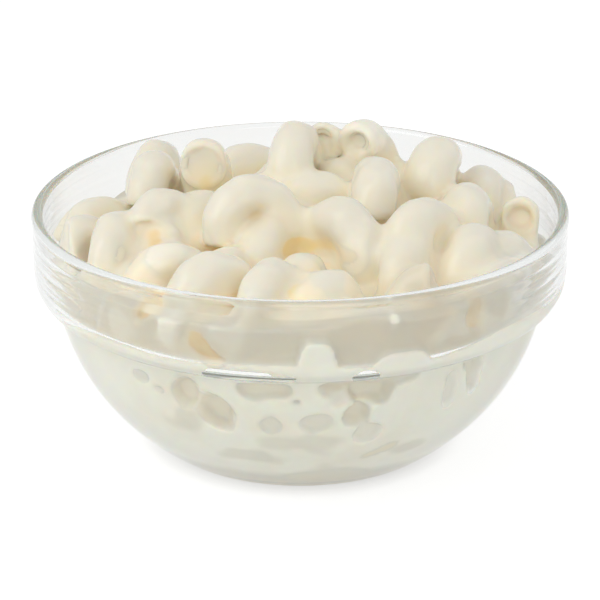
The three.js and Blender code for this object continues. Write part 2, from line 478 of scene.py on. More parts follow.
# Each lower row's height, its number of elbows and how far they tip.
LOWER_ROWS = [(30, 15, 10), (21, 13, 24), (12.5, 9, 24)]
LOWER_SHUFFLE = 0.3
LOWER_TURN = 30
ROW_SWAY = 2
ROW_BENDS = (150, 190)
WALL_REACH = 6.6


def wall_radius(z):
    """The inside radius of the glass at a height."""
    line = inner_wall[1:]
    return np.interp(z, line[:, 1], line[:, 0])


def band_row():
    elbows = []
    for i in range(BAND_ELBOWS):
        angle = 2 * pi * (i + sway(BAND_SHUFFLE)) / BAND_ELBOWS
        turn = np.degrees(angle) + 90 + sway(BAND_TURN)
        z = BAND_ELBOW_HEIGHT + sway(ROW_SWAY)
        spin = draw(0, 360)
        x, y = BAND_ELBOW_RADIUS * cos(angle), BAND_ELBOW_RADIUS * sin(angle)
        elbows.append([x, y, z, turn, spin, 0, draw(*ROW_BENDS)])
    return elbows


def lower_rows():
    elbows = []
    for z, count, tip in LOWER_ROWS:
        for i in range(count):
            angle = 2 * pi * (i + sway(LOWER_SHUFFLE)) / count
            height = z + sway(ROW_SWAY)
            radius = wall_radius(height) - WALL_REACH
            turn = np.degrees(angle) + 90 + sway(LOWER_TURN)
            place = [radius * cos(angle), radius * sin(angle), height]
            elbows.append([*place, turn, draw(0, 360), sway(tip), draw(*ROW_BENDS)])
    return elbows


wall_elbows = band_row() + lower_rows()
all_elbows = top_elbows + wall_elbows
print(f"{len(wall_elbows)} elbows against the glass, {len(all_elbows)} in all")

# %% [markdown]
# ## The heap as a field of distances
#
# Sauce joins what it coats: where two tubes touch, it fills the corner with a smooth web. Meshes joined by
# Booleans have sharp corners there, and metaballs can't make open tube ends. So each elbow is written as a
# distance: how far a point is from its surface. Distances can be joined with a rounded corner of any size,
# and one surface is then drawn through the whole field.

# %% Distances to one elbow
EDGE_ROUND = 1.3


def elbow_rotation(elbow):
    turn, spin, lean = (radians(v) for v in elbow[3:6])
    turns = [Matrix.Rotation(lean, 3, "X"), Matrix.Rotation(spin, 3, "Y"), Matrix.Rotation(turn, 3, "Z")]
    return np.array(turns[0] @ turns[1] @ turns[2], np.float32)


def seen_from(points, elbow):
    """The points in the elbow's own axes, where it is an arch in the XZ plane with its crown up."""
    return (points - np.array(elbow[:3], np.float32)) @ elbow_rotation(elbow)


def tube_coordinates(local, bend):
    """How far each point is from the elbow's centre line, and how far beyond its nearer end."""
    x, y, z = np.abs(local[:, 0]), local[:, 1], local[:, 2]
    half = radians(bend) / 2
    angle = np.arctan2(x, z)
    dx, dz = x - BEND_RADIUS * sin(half), z - BEND_RADIUS * cos(half)
    inside = angle < half
    beyond = np.where(inside, BEND_RADIUS * (angle - half), np.maximum(dx * cos(half) - dz * sin(half), 0))
    across = np.where(inside, np.hypot(x, z) - BEND_RADIUS, dx * sin(half) + dz * cos(half))
    return np.hypot(across, y), beyond


def rounded(side, end):
    """The distance to a body with a side and an end face that meet in a rounded edge."""
    side, end = side + EDGE_ROUND, end + EDGE_ROUND
    outside = np.hypot(np.maximum(side, 0), np.maximum(end, 0))
    return outside + np.minimum(np.maximum(side, end), 0) - EDGE_ROUND


# %% Join and cut fields


def join(a, b, blend):
    """The union of two fields with a rounded inside corner."""
    h = np.clip(0.5 + 0.5 * (b - a) / blend, 0, 1)
    return b + (a - b) * h - blend * h * (1 - h)


def cut(a, b, blend):
    """What is left of a field after another is taken away, with a rounded edge."""
    return -join(-a, b, blend)


# %% [markdown]
# ## Soft noise
#
# Sauce is never the same thickness twice. A noise texture would only reach the shading, and a Displace
# modifier only a finished mesh. Blurred random numbers give smooth lumps of one chosen size in the block
# itself, and the same blur later tells hollows from crests. A wide blur is quickest as a product in the
# frequency domain.

# %% Blur and lumps
VOXEL = 0.65
LOW = np.array([-57.6, -57.6, 2.4])
COUNT = np.array([178, 178, 110])
LUMP_SEED = 7
FINE_SIZE = 1.6
MIDDLE_SIZE = 3.2
BROAD_SIZE = 6.5


def soften(field, reach):
    """A Gaussian blur of the block; reach is its width in millimetres."""
    falls = []
    for axis, size in enumerate(field.shape):
        steps = np.fft.rfftfreq(size) if axis == 2 else np.fft.fftfreq(size)
        falls.append(np.exp(-2 * (pi * steps * reach / VOXEL) ** 2))
    spectrum = np.fft.rfftn(field)
    spectrum *= falls[0][:, None, None]
    spectrum *= falls[1][None, :, None]
    spectrum *= falls[2][None, None, :]
    return np.fft.irfftn(spectrum, field.shape).astype(np.float32)


def lumps(reach, chance):
    """Smooth noise with lumps of one size, about -1 to 1."""
    noise = soften(chance.standard_normal(tuple(COUNT), np.float32), reach)
    return noise / (2 * noise.std())


chance = np.random.default_rng(LUMP_SEED)
fine_lumps = lumps(FINE_SIZE, chance)
middle_lumps = lumps(MIDDLE_SIZE, chance)
broad_lumps = lumps(BROAD_SIZE, chance)
print("noise blocks of", fine_lumps.shape)

# %% [markdown]
# ## Tubes, dimples and skins
#
# Each elbow is a bent tube in sauce. Sauce this thick plugs the open ends to a shallow dimple and hangs
# across the inside of many bends as a skin. Both could be sculpted, but as distances they follow the elbow
# wherever it is moved. They collect the warm, tan light, so they are what makes the heap read as pasta.
# Those that show are listed, the others are drawn.

# %% The shape of each elbow
TUBE_SWELL = 0.05
SWELL_LIMIT = 1.5
BORE_RADIUS = 2.5
BORE_DEPTHS = (0.2, 1.2)
SKIN_SHARE = 0.6
SKIN_SHIFTS = (-1.5, 1.5)
SKIN_HEIGHTS = (-2, 0)
SKIN_RADIUS = 8.0
SKIN_HALVES = (1.8, 2.8)
SHAPE_SEED = 11
# What is listed goes by the elbow's number. A skin is a shift, a height, a radius and half a thickness.
SWELLS = {7: 1.24}
DIMPLES = {0: 0.4, 1: 1.5, 7: 0.0, 10: 1.8, 11: 2.0, 17: 2.0, 22: 0.5, 23: 0.5}
WIDE_BORES = {7: 3.3}
SKINS = {
    0: (1.8, -1.5, 8.6, 1.8),
    1: (0.0, -0.5, 8.2, 2.6),
    15: (0.0, -0.5, 7.6, 2.8),
    18: (-0.6, -2.0, 8.4, 3.0),
    20: (0.6, -1.5, 8.0, 2.2),
}


def elbow_shapes(count):
    """For each elbow how much it swells, its dimples' depth and radius, and its skin, if it has one."""
    chance = np.random.default_rng(SHAPE_SEED)
    shapes = []
    for i in range(count):
        spread = np.clip(chance.standard_normal(), -SWELL_LIMIT, SWELL_LIMIT)
        dimple = chance.uniform(*BORE_DEPTHS)
        skin = (
            chance.uniform(*SKIN_SHIFTS),
            chance.uniform(*SKIN_HEIGHTS),
            SKIN_RADIUS,
            chance.uniform(*SKIN_HALVES),
        )
        has_skin = chance.random() < SKIN_SHARE and i >= len(SHOWN_ELBOWS)
        swell = SWELLS.get(i, 1 + TUBE_SWELL * spread)
        skin = SKINS.get(i, skin if has_skin else None)
        shapes.append((swell, DIMPLES.get(i, dimple), WIDE_BORES.get(i, BORE_RADIUS), skin))
    return shapes


shapes = elbow_shapes(len(all_elbows))
print(f"{sum(shape[3] is not None for shape in shapes)} elbows have a skin")

# %% Join the elbows into one field
FAR = 6.0
BORE_BLEND = 1.8
ELBOW_BLEND = 1.35
SKIN_BLEND = 1.6

axes = [LOW[i] + VOXEL * np.arange(COUNT[i]) for i in range(3)]


def window(place, reach):
    """The part of the block round a place, as slices and as a grid of points."""
    slices, spans = [], []
    for i in range(3):
        first = max(int((place[i] - reach - LOW[i]) / VOXEL), 0)
        last = min(int((place[i] + reach - LOW[i]) / VOXEL) + 2, COUNT[i])
        slices.append(slice(first, last))
        spans.append(axes[i][first:last])
    grid = np.stack(np.meshgrid(*spans, indexing="ij"), -1).astype(np.float32)
    return tuple(slices), grid


def skin_distance(local, shift, height, radius, half):
    """The distance to a disc of sauce across the inside of a bend."""
    ring = np.hypot(local[:, 0], local[:, 2] - height) - radius
    return rounded(ring, np.abs(local[:, 1] - shift) - half)


def coated(points, elbow, shape):
    """The distance to one elbow with its film, its dimples and its skin."""
    swell, dimple, bore, skin = shape
    local = seen_from(points, elbow)
    away, beyond = tube_coordinates(local, elbow[6])
    tube = rounded(away - TUBE_RADIUS * swell, beyond)
    tube = cut(tube, np.maximum(away - bore, -(beyond + dimple)), BORE_BLEND)
    if skin:
        tube = join(tube, skin_distance(local, *skin), SKIN_BLEND)
    return tube


def coat_elbows(elbows, shapes):
    field = np.full(tuple(COUNT), FAR, np.float32)
    for elbow, shape in zip(elbows, shapes):
        slices, grid = window(elbow, BEND_RADIUS + TUBE_RADIUS + FAR)
        tube = coated(grid.reshape(-1, 3), elbow, shape).reshape(grid.shape[:3])
        field[slices] = join(field[slices], tube, ELBOW_BLEND)
    return field


coats = coat_elbows(all_elbows, shapes)
print(f"the elbows take {(coats < 0).mean() * 100:.1f} % of the block")

# %% [markdown]
# ## The sauce between the elbows
#
# Under the crests lies a low, lumpy dome of sauce and pasta, and some lumps of sauce bridge two elbows. A
# fluid simulation would settle it, but slowly. A dome with a few mounds and some balls, joined to the elbows
# by the same rounded corners, does it at once.

# %% A bed and lumps of sauce
BED_CROWN = 50.0
BED_FALL = 7.5
BED_EDGE = 3
# Each mound's x and y, its rise and its spread.
MOUNDS = [(13, 10, 8.0, 14), (9, -27, -3.5, 7)]
WALL_RISE = 6.0
WALL_RISE_FROM = 42
WALL_RISE_RUN = 10
FRONT_LEAN = 60
# Each lump's x, y, z and radius.
SAUCE_LUMPS = [
    (-27, -20, 48.5, 4.5),
    (-31, -26, 46.5, 4.5),
    (-37, -31, 42, 3.8),
    (6.5, -36, 46, 4.5),
    (-7.5, -16.8, 53.5, 3.3),
    (-35, -18.5, 49.8, 3.6),
    (-28.5, -17.5, 53.5, 3.2),
    (9, 9, 57.5, 5.0),
    (22, 14, 53.5, 5.0),
]
LUMP_BLEND = 2.6


def bed_height(radius, x, y):
    """The bed's top: a low dome, with mounds, higher where it leans on the front of the glass."""
    mound = 0
    for mound_x, mound_y, rise, spread in MOUNDS:
        mound = mound + rise * np.exp(-((x - mound_x) ** 2 + (y - mound_y) ** 2) / (2 * spread**2))
    at_wall = np.clip((radius - WALL_RISE_FROM) / WALL_RISE_RUN, 0, 1)
    edge = WALL_RISE * at_wall * np.clip(0.5 - y / FRONT_LEAN, 0, 1)
    return BED_CROWN - BED_FALL * (radius / (RIM_RADIUS - BAND_WALL - BED_EDGE)) ** 2 + mound + edge


def add_lumps(field):
    for x, y, z, radius in SAUCE_LUMPS:
        slices, grid = window((x, y, z), radius + FAR)
        ball = np.linalg.norm(grid - np.array([x, y, z], np.float32), axis=-1) - radius
        field[slices] = join(field[slices], ball, LUMP_BLEND)
    return field


lumped = add_lumps(coats)
print(f"with {len(SAUCE_LUMPS)} lumps they take {(lumped < 0).mean() * 100:.1f} %")

# %% [markdown]
# ## Sauce on the glass
#
# Below the stacking step the sauce wets the glass, and two tongues of it have run up over the step. Air stays
# trapped in small flat pockets. Behind the band the sauce hangs back from the wall, in hollows and lobes. A
# bump could hint at all this, but soft patches at an angle and a height on the wall have real depth, so the
# light falls into them. The sauce in the pockets and band hollows is also painted tan as painted shade, and
# so are a few patches where the sauce has no gap at all.

# %% How high the sauce wets the glass
CONTACT_TOP = 39.0
# Each wave's height, its number of crests round the bowl and where it starts.
CONTACT_WAVES = [(0.8, 3, 1), (0.6, 7, 0)]
RIGHT_RISE = 2.5
RIGHT_TURN = 0.35
# Each tongue's angle, its top and its width.
CONTACT_TONGUES = [(-86.5, 45.0, 4.4), (-68.5, 41.5, 8.0)]
TONGUE_FALL = 6.0
DRY_FADE = 1.2


def contact_top(angle):
    """The height up to which sauce wets the glass, at each angle round the bowl."""
    height = CONTACT_TOP
    for rise, crests, start in CONTACT_WAVES:
        height = height + rise * np.sin(crests * angle + start)
    height = height + RIGHT_RISE * np.clip(2 * np.cos(angle + RIGHT_TURN) - 1, 0, 1)
    for degrees, top, width in CONTACT_TONGUES:
        off = (np.degrees(angle) - degrees) / width
        height = np.maximum(height, top - TONGUE_FALL * off**4)
    return height


x, y, z = np.meshgrid(*axes, indexing="ij", sparse=True)
radius = np.hypot(x, y)
wall = (radius - wall_radius(z)).astype(np.float32)
dry = np.clip((z - contact_top(np.arctan2(y, x))) / DRY_FADE, 0, 1).astype(np.float32)
print(f"{(dry > 0).mean() * 100:.0f} % of the block lies over the wetted glass")

# %% Pockets, hollows and lobes
# Each patch is an angle, a height, half a width, half a height, a tilt and a depth.
AIR_POCKETS = [
    (-118.5, 30.0, 2.3, 3.3, -20, 1.8),
    (-109.5, 25.4, 3.3, 3.8, 25, 2.4),
    (-114, 28.2, 4.0, 1.2, -20, 1.0),
    (-98, 32.4, 5.4, 2.0, 0, 1.1),
    (-81.5, 33.2, 4.2, 2.1, 0, 1.8),
    (-76.5, 31.2, 4.4, 3.6, 0, 2.3),
    (-76, 26.3, 3.0, 3.8, 15, 2.0),
    (-67.6, 34.0, 3.2, 1.3, 0, 0.9),
    (-44.5, 31.5, 2.3, 4.0, 10, 1.6),
    (-52, 27.5, 1.8, 4.2, 10, 0.7),
    (-73, 20.6, 2.6, 2.6, 0, 0.9),
    (-97, 23.4, 2.2, 1.8, 0, 0.7),
    (-85, 24.3, 2.9, 2.2, 0, 0.7),
    (-91, 29.6, 0.9, 0.6, 0, 0.8),
    (-131, 30.7, 2.2, 1.5, 0, 0.6),
    (-101.5, 37.6, 8.0, 0.7, 0, 0.8),
    (-76.5, 37.6, 2.6, 0.7, 0, 0.8),
    (-125.5, 28.3, 1.9, 1.3, 0, 0.6),
]
# Patches with no gap in the sauce, only painted shade; their last number is how strong it is.
PAINTED_SHADE_PATCHES = [
    (-66.8, 14.4, 3.2, 1.0, 25, 1.2),
    (-80, 7.6, 8.5, 2.2, 0, 0.45),
    (-104, 14.0, 5.0, 1.8, 0, 0.5),
    (-57, 14.1, 5.0, 1.8, 10, 0.5),
    (-90, 18.0, 8.0, 2.2, 0, 0.35),
    (-120, 22.0, 5.0, 2.5, 30, 0.35),
]
BAND_HOLLOWS = [
    (-124.7, 48.6, 3.4, 3.2, 10, 1.0),
    (-112, 43.3, 4.4, 2.0, -35, 1.0),
    (-90, 52.3, 3.5, 1.6, 0, 0.8),
    (-72.7, 53.0, 3.0, 2.0, 0, 0.7),
    (-61.5, 47.7, 3.4, 3.2, 0, 0.3),
    (-50, 46.2, 1.8, 4.5, 0, 0.7),
    (-139, 50.5, 5.0, 2.0, -25, 0.6),
    (-100, 49.5, 9.0, 1.5, 0, 0.4),
    (-80, 47.5, 7.0, 2.5, 0, 0.3),
]
BAND_LOBES = [
    (-120, 45.6, 4.4, 3.4, 0, 1.0),
    (-70, 51.5, 1.5, 4.5, 0, 1.0),
    (-105.4, 47.5, 4.0, 4.5, 20, 0.5),
    (-131, 44.0, 4.0, 2.6, 0, 0.6),
    (-56, 43.5, 4.0, 2.5, 0, 0.6),
    (-34, 46.0, 8.0, 5.0, 0, 0.8),
    (-47, 43.0, 4.5, 3.0, 0, 0.6),
]
BACK_SEED = 5
BACK_POCKETS = 22
BACK_RANGES = [(15, 165), (9, 34), (1.2, 4), (0.8, 3), (-40, 40), (0.5, 1.3)]
PATCH_EDGE = 1.25
PATCH_FADE = 0.5
PATCH_WARP = 0.55


def back_pockets():
    """Pockets drawn for the back, within the ranges of each of a patch's numbers."""
    chance = np.random.default_rng(BACK_SEED)
    return [[chance.uniform(*ends) for ends in BACK_RANGES] for _ in range(BACK_POCKETS)]


def patches(x, y, z, places):
    """A block with smooth patches on the wall of the bowl, each as strong as it is deep."""
    depth = np.zeros(tuple(COUNT), np.float32)
    turn = np.degrees(np.arctan2(y, x))
    radius = np.hypot(x, y)
    for degrees, height, wide, high, tilt, deep in places:
        away = (turn - degrees + 180) % 360 - 180
        across = np.radians(away) * radius
        c, s = cos(radians(tilt)), sin(radians(tilt))
        rise = z - height
        u, v = (c * across + s * rise) / wide, (c * rise - s * across) / high
        reach = np.sqrt(u**2 + v**2) + PATCH_WARP * fine_lumps
        depth = np.maximum(depth, deep * np.clip((PATCH_EDGE - reach) / PATCH_FADE, 0, 1))
    return depth


pockets = patches(x, y, z, AIR_POCKETS + back_pockets())
painted_patch_shade = patches(x, y, z, PAINTED_SHADE_PATCHES)
band_hollows = patches(x, y, z, BAND_HOLLOWS)
band_lobes = patches(x, y, z, BAND_LOBES)
print(f"{(pockets > 0.1).mean() * 100:.2f} % of the block in the reach of air pockets")

# %% Join the sauce to the elbows
WET_REACH = 1.6
BAND_RECESS = 1.0
RECESS_LUMPS = 0.8
BED_SLOPE = 0.9
BED_LUMPS = 1.2
SAUCE_BLEND = 2.6


def filling(field):
    """How much of each cell lies inside the surface, from 0 to 1."""
    return np.clip(0.5 - field / VOXEL, 0, 1)


recess = BAND_RECESS * (1 - band_lobes) + RECESS_LUMPS * middle_lumps
top = BED_SLOPE * (z - bed_height(radius, x, y)) + BED_LUMPS * broad_lumps
bed = np.maximum(top, wall - WET_REACH * (1 - dry) + recess * dry).astype(np.float32)
heap_field = join(lumped, bed, SAUCE_BLEND)
print(f"elbows and sauce take {filling(heap_field).mean() * 100:.1f} % of the block")

# %% Let sauce pool in the crevices
POOL_REACH = 2.2
POOL_SHARE = 0.53
POOL_SLOPE = 4.4
POOL_BLEND = 0.7
POOL_FREE_TOP = 6
FINE_BUMPS = 0.3
MIDDLE_BUMPS = 0.35
BROAD_BUMPS = 0.3

crowded = soften(filling(heap_field), POOL_REACH)
# The blur runs round from the block's full floor to its empty top, which stays free of pools.
crowded[:, :, -POOL_FREE_TOP:] = 0
heap_field = join(heap_field, POOL_SLOPE * (POOL_SHARE - crowded), POOL_BLEND)
heap_field += FINE_BUMPS * fine_lumps + MIDDLE_BUMPS * middle_lumps + BROAD_BUMPS * broad_lumps
print(f"with pools {filling(heap_field).mean() * 100:.1f} %")

# %% Trim the heap to the glass
WETTING = 0.25
DRY_GAP = 0.5
POCKET_RIM = 2
HOLLOW_DEPTH = 1.6
SIDE_GAP = 4.0
SIDE_FROM = 0.78
SIDE_FADE = 0.18
SIDE_LUMPS = 0.5
GLASS_BLEND = 1.0

inside_glass = np.maximum(wall, BASE_THICKNESS - z)
in_air = np.clip(POCKET_RIM * pockets, 0, 1)
limit = inside_glass - WETTING + (WETTING + DRY_GAP) * dry + (WETTING + pockets) * in_air
at_side = np.clip((np.abs(x) / np.maximum(radius, 1) - SIDE_FROM) / SIDE_FADE, 0, 1)
side_gap = SIDE_GAP * at_side * (1 + SIDE_LUMPS * middle_lumps)
limit += (HOLLOW_DEPTH * band_hollows + side_gap) * dry
heap_field = cut(heap_field, -limit.astype(np.float32), GLASS_BLEND)
heap_field[:, :, -1] = FAR
print(f"inside the glass {filling(heap_field).mean() * 100:.1f} %")

# %% [markdown]
# ## One skin through the field
#
# The heap's surface lies where the distance is zero. A Remesh modifier could wrap a rough mesh, but it would
# round the dimples off and lose the place of each point in the block. OpenVDB, which comes with Blender,
# draws quads through the block of numbers.

# %% Draw the surface through the field


def surface(field):
    """Points in millimetres, the same points in cells, and quads."""
    grid = openvdb.FloatGrid(background=float(FAR))
    grid.copyFromArray(np.ascontiguousarray(field, np.float32))
    points, triangles, quads = grid.convertToPolygons(isovalue=0.0, adaptivity=0.0)
    return points * VOXEL + LOW, points, quads


points, cells, quads = surface(heap_field)
print(f"{len(points)} points and {2 * len(quads)} triangles")

# %% [markdown]
# ## How deep each point lies
#
# In a hollow between two tubes the light has bounced from warm pasta many times, so the sauce there looks
# tan, and the crests look almost white. An ambient occlusion node would measure this anew for each ray.
# Blurring the solid by a few millimetres measures it once: a point on a crest then has little food round it
# and a point in a crevice has much. It is kept on the mesh as a value.

# %% Measure how much food lies round a point
NEAR_REACH = 1.7
WIDE_REACH = 4.2
GLASS_SHADE = 0.7
FREE_LEAST = 0.38


def sample(field, cells):
    """The value of a block at fractional cell positions."""
    first = np.clip(np.floor(cells).astype(int), 0, COUNT - 2)
    part = cells - first
    value = np.zeros(len(cells), np.float32)
    for corner in np.ndindex(2, 2, 2):
        weight = np.prod(np.where(corner, part, 1 - part), axis=1)
        value += weight * field[tuple((first + corner).T)]
    return value


filled = filling(heap_field)
behind_band = np.where((wall > 0) & (z < BOWL_HEIGHT), GLASS_SHADE, 0)
shaded = np.maximum(filled, behind_band)
crowd = 0.5 * soften(filled, NEAR_REACH) + 0.5 * soften(shaded, WIDE_REACH)


def hollowness(cells):
    return np.maximum(sample(crowd, cells), FREE_LEAST)


free = hollowness(cells)
print("food round the points at 2, 50 and 98 %:", np.percentile(free, [2, 50, 98]).round(2))

# %% [markdown]
# ## Spots of painted shade and light
#
# Some dimples and the insides of some bends get painted shade, a warmer tan; some crests and crevices get
# painted light, paler; and a few faces get a darker painted shade.
# Texture Paint could add these to one finished mesh. Soft round spots in space outlast a change of mesh.

# %% Spots
SPOT_SPREAD = 0.8
# Each spot's x, y, z and radius, and by how much it changes the value: above zero painted shade, tan; below
# zero painted light, paler.
SHADE_AND_LIGHT_SPOTS = [
    (-21.5, 4.5, 57.6, 4.4, 0.56),
    (-31.5, -19.5, 54.6, 3.0, 0.46),
    (-9.8, -17.0, 59.0, 3.2, 0.42),
    (-14.0, -17.0, 56.7, 2.8, 0.24),
    (-4.4, -17.0, 58.1, 2.8, 0.1),
    (-42.0, -18.5, 52.0, 4.5, 0.12),
    (13.0, 8.0, 65.3, 2.6, 0.6),
    (6.0, 9.0, 64.5, 2.4, 0.16),
    (49.8, 1.0, 50.8, 3.4, 0.36),
    (17.0, 10.0, 68.0, 6.0, -0.25),
    (50.0, -24.0, 43.0, 11.0, -0.4),
    (25.0, -42.0, 52.0, 8.0, 0.16),
    (11.5, -27.0, 49.0, 8.0, -0.3),
    (-30.0, -26.0, 49.0, 7.0, -0.3),
    (-28.0, -14.0, 58.5, 4.0, -0.1),
    (4.7, -14.0, 51.5, 5.0, -0.25),
    (-20.6, -19.0, 52.3, 3.5, -0.3),
    (-1.0, -42.0, 50.6, 4.0, -0.15),
]
SHADE_SPOTS = [
    (25.0, -42.0, 52.0, 8.0, 0.2),
    (-9.8, -17.0, 59.0, 4.0, 0.24),
    (-8.5, -20.0, 53.0, 4.0, 0.08),
    (-31.5, -19.5, 54.6, 3.0, 0.14),
    (9.5, -21.0, 57.0, 6.0, 0.14),
]


def spots(points, places):
    """The change at each point: above zero warmer or darker painted shade, below zero paler painted light."""
    change = np.zeros(len(points), np.float32)
    for x, y, z, radius, strength in places:
        away = ((points - np.array([x, y, z])) ** 2).sum(axis=1)
        change += strength * np.exp(-away / (SPOT_SPREAD * radius**2))
    return change


spot_shade_and_light = spots(points, SHADE_AND_LIGHT_SPOTS)
print(f"spots change the value by {spot_shade_and_light.min():.2f} to {spot_shade_and_light.max():.2f}")

# %% The two values at each point
AT_GLASS = 0.22
GLASS_MOTTLE = 0.03
GLASS_REACH = 3
GLASS_FADE = 2
BAND_MARGIN = 1
BAND_FADE = 4
BAND_HOLLOW_SHADE = 1.6
POCKET_MOST = 1.5
POCKET_SHADE_TAN = 0.26
POCKET_SHADE = 0.08
LOBE_PAINTED_LIGHT = 0.22
BAND_SHADE = 0.2
PALEST = 0.29
BASE_FROM = 9.0
BASE_FADE = 4.5
BASE_SHADE_TAN = 0.3
BASE_SHADE = 0.05

height = points[:, 2]
near_glass = np.clip(1 + (sample(wall, cells) + GLASS_REACH) / GLASS_FADE, 0, 1)
at_glass = np.clip(1 - sample(dry, cells), 0, 1) * near_glass
in_band = sample(dry, cells) * near_glass * np.clip((BOWL_HEIGHT - BAND_MARGIN - height) / BAND_FADE, 0, 1)
# On the band's lobes the painted shade is lifted and the sauce is made paler: painted light.
on_lobe = sample(band_lobes, cells)
at_pocket = np.clip(sample(pockets, cells), 0, POCKET_MOST)
# Air pockets, band hollows and the gapless patches get painted shade: tan.
pocket_shade_mask = np.clip(sample(pockets + painted_patch_shade + BAND_HOLLOW_SHADE * band_hollows, cells), 0, POCKET_MOST)
# Towards the base the sauce gets painted shade: tanner and darker.
near_base = np.clip((BASE_FROM - height) / BASE_FADE, 0, 1)
wet = AT_GLASS + GLASS_MOTTLE * sample(middle_lumps + broad_lumps, cells)
hollow = free + at_glass * (wet - free) + POCKET_SHADE_TAN * pocket_shade_mask - LOBE_PAINTED_LIGHT * on_lobe * in_band
hollow = np.maximum(hollow + spot_shade_and_light, np.minimum(hollow, PALEST)) + BASE_SHADE_TAN * near_base
shade = BAND_SHADE * in_band * (1 - on_lobe) + POCKET_SHADE * at_pocket * at_glass
shade += BASE_SHADE * near_base + spots(points, SHADE_SPOTS)
low_part = height < CONTACT_TOP
spread = np.percentile(hollow[~low_part], [2, 25, 50, 75, 90, 98])
print("hollowness of the heap at 2, 25, 50, 75, 90 and 98 %:", spread.round(2))
print("hollowness at the glass:", np.percentile(hollow[low_part], [2, 50, 98]).round(2))

# %% [markdown]
# ## Cheese sauce
#
# White cheese sauce is dense and milky: light goes a millimetre or two in and comes out warmer. A plain
# diffuse surface would look like plaster, and a true volume would take many more samples. So the shader
# scatters light under the surface, red furthest. Its colour runs from wet white through ivory to tan as the
# hollow value grows, and the shade value darkens it. On top lies the soft, uneven gloss of fat and starch.

# %% Food material
WET = (0.98, 0.94, 0.82)
CREST = (0.80, 0.77, 0.665)
MIDDLE = (0.86, 0.80, 0.645)
DEPTH = (0.92, 0.82, 0.63)
PIT = (0.95, 0.76, 0.44)
STOPS_AT = (0.28, 0.42, 0.58, 0.82, 0.98)
MOTTLE_SCALE = 140.0
MOTTLE_DETAIL = 3.0
MOTTLE_SHIFT = 0.12
MOTTLE_ROUGH = 0.08
GRAIN_SCALE = 520.0
GRAIN_DETAIL = 2.0
GRAIN_STRENGTH = 0.12
GRAIN_DEPTH = 0.3
SCATTER_COLOUR = (1.0, 0.68, 0.42)
SCATTER_REACH = 2.2
FOOD_INDEX = 1.42
FOOD_SHEEN = 0.35
SHEEN_ROUGHNESS = 0.3


def mesh_value(tree, name):
    """A value that the mesh keeps at its points."""
    node = tree.nodes.new("ShaderNodeAttribute")
    node.attribute_name = name
    return node.outputs["Fac"]


def food_colour(tree, mottle, colours):
    """The colour for the hollow value, a little mottled, less the shade value."""
    terms = {0: mottle, 1: MOTTLE_SHIFT, 2: mesh_value(tree, "hollow")}
    depth = add_node(tree, "Math", terms, "MULTIPLY_ADD")["Value"]
    light_share = add_node(tree, "Math", {0: 1.0, 1: mesh_value(tree, "shade")}, "SUBTRACT")["Value"]
    tint = add_ramp(tree, depth, STOPS_AT, colours)
    return add_node(tree, "VectorMath", {0: tint, "Scale": light_share}, "SCALE")["Vector"]


def food_material(name, colours, roughness, scatter):
    material, tree, output = new_material(name)
    place = add_node(tree, "TexCoord", {})["Object"]
    mottle = add_noise(tree, place, MOTTLE_SCALE, MOTTLE_DETAIL)
    grain = add_noise(tree, place, GRAIN_SCALE, GRAIN_DETAIL)
    rough = (roughness - MOTTLE_ROUGH, roughness + MOTTLE_ROUGH)
    surface = {
        "Base Color": food_colour(tree, mottle, colours),
        "Subsurface Weight": scatter,
        "Subsurface Radius": SCATTER_COLOUR,
        "Subsurface Scale": SCATTER_REACH * MM,
        "IOR": FOOD_INDEX,
        "Sheen Weight": FOOD_SHEEN,
        "Sheen Roughness": SHEEN_ROUGHNESS,
        "Roughness": map_range(tree, mottle, (0.0, 1.0), rough),
        "Normal": add_bump(tree, grain, GRAIN_STRENGTH, GRAIN_DEPTH),
    }
    tree.links.new(add_node(tree, "BsdfPrincipled", surface)["BSDF"], output["Surface"])
    return material


# %% [markdown]
# ## The sauce in two pieces
#
# The skin has a quarter of a million triangles, more than one piece should hold. A Decimate modifier would
# leave facets, so the skin is parted at the stacking step instead, where the glass hides the seam. Normals
# come from the field, so both sides of the seam shade alike.

# %% Part the sauce at the stacking step
SPLIT_HEIGHT = 36.0
SAUCE_ROUGHNESS = 0.22
SAUCE_SCATTER = 0.85
LEAST_SLOPE = 1e-6

slopes = np.stack([sample(part, cells) for part in np.gradient(heap_field)], -1)
normals = slopes / np.maximum(np.linalg.norm(slopes, axis=1, keepdims=True), LEAST_SLOPE)
sauce_colours = (WET, CREST, MIDDLE, DEPTH, PIT)
sauce_material = food_material("cheese_sauce", sauce_colours, SAUCE_ROUGHNESS, SAUCE_SCATTER)


def keep_value(piece, name, values):
    piece.data.attributes.new(name, "FLOAT", "POINT").data.foreach_set("value", values)


def sauce_piece(name, chosen):
    used, faces = np.unique(quads[chosen], return_inverse=True)
    piece = make_piece(name, points[used], faces.reshape(-1, 4).tolist(), sauce_material)
    keep_value(piece, "hollow", hollow[used])
    keep_value(piece, "shade", shade[used])
    piece.data.normals_split_custom_set_from_vertices(normals[used])
    tie(piece, "cheese_sauce", "macaroni_heap")


quad_height = points[quads][:, :, 2].mean(1)
sauce_piece("cheese_sauce", quad_height >= SPLIT_HEIGHT)
sauce_piece("sauce_in_the_bowl", quad_height < SPLIT_HEIGHT)

# %% [markdown]
# ## The macaroni itself
#
# Each elbow is also made as a real tube, so that pasta shows wherever the film of sauce is thin: on the cut
# ends, along a crest, beside a skin. A curve with a bevel could draw the outside but not the bore. So the
# tube is swept along its bend, out along the outside and back along the bore. Those that lie wholly inside
# the heap are left out.

# %% Macaroni tubes
FILM = 0.62
MACARONI_WALL = 2.1
RING_SIDES = 22
BEND_STEPS = 14
END_RECESS = 0.8
END_TURN = 0.06
END_BEVEL = 0.5


